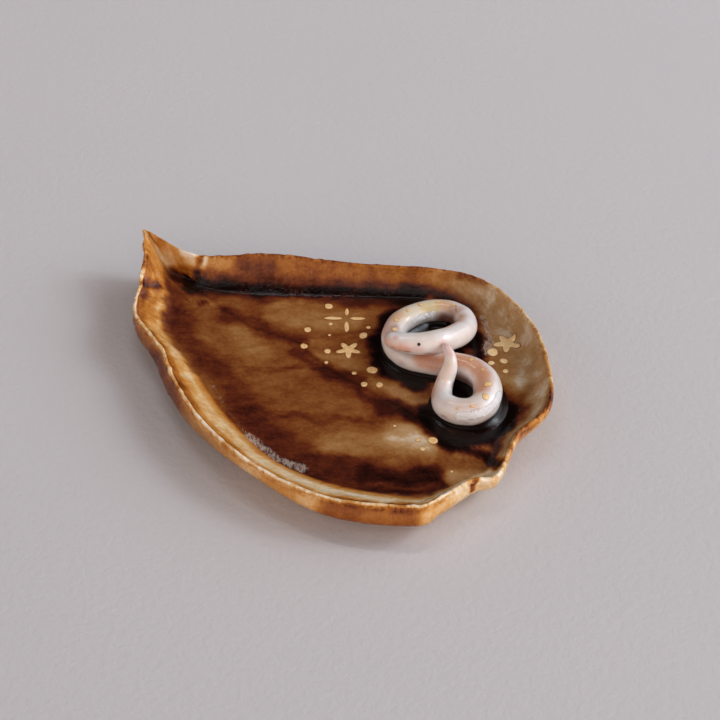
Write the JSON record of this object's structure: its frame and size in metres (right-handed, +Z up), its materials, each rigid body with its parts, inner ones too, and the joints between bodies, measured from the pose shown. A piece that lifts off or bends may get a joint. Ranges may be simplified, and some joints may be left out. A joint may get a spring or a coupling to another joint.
{
  "type": "ring dish",
  "caption": "Leaf-shaped ceramic ring dish with a raised rim, a lifted tip and a coiled clay snake lying on its floor, for rings and small jewellery.",
  "frame": {"origin": "on the surface the dish stands on, under the middle of its box", "axes": "+X from the leaf's tip to its stem, +Y to the side where the snake's big loop lies, +Z up"},
  "size_m": [0.1265, 0.0902, 0.0155],
  "materials": {
    "leaf_glaze": "glossy amber and brown glaze that pools dark in the hollows, over cream clay",
    "snake_glaze": "glossy cream-white glaze with peach blushes",
    "black_underglaze": "glossy black",
    "gold_lustre": "fired gold lustre, soft sheen"
  },
  "bodies": {
    "root": {"leaf_dish": "leaf_glaze", "snake": "snake_glaze", "snake_eyes": "black_underglaze", "snake_gold_flecks": "gold_lustre", "gold_sparkle": "gold_lustre", "gold_star_left": "gold_lustre", "gold_star_right": "gold_lustre", "gold_dots_left": "gold_lustre", "gold_dots_right": "gold_lustre", "gold_dots_front": "gold_lustre"}
  },
  "joints": []
}
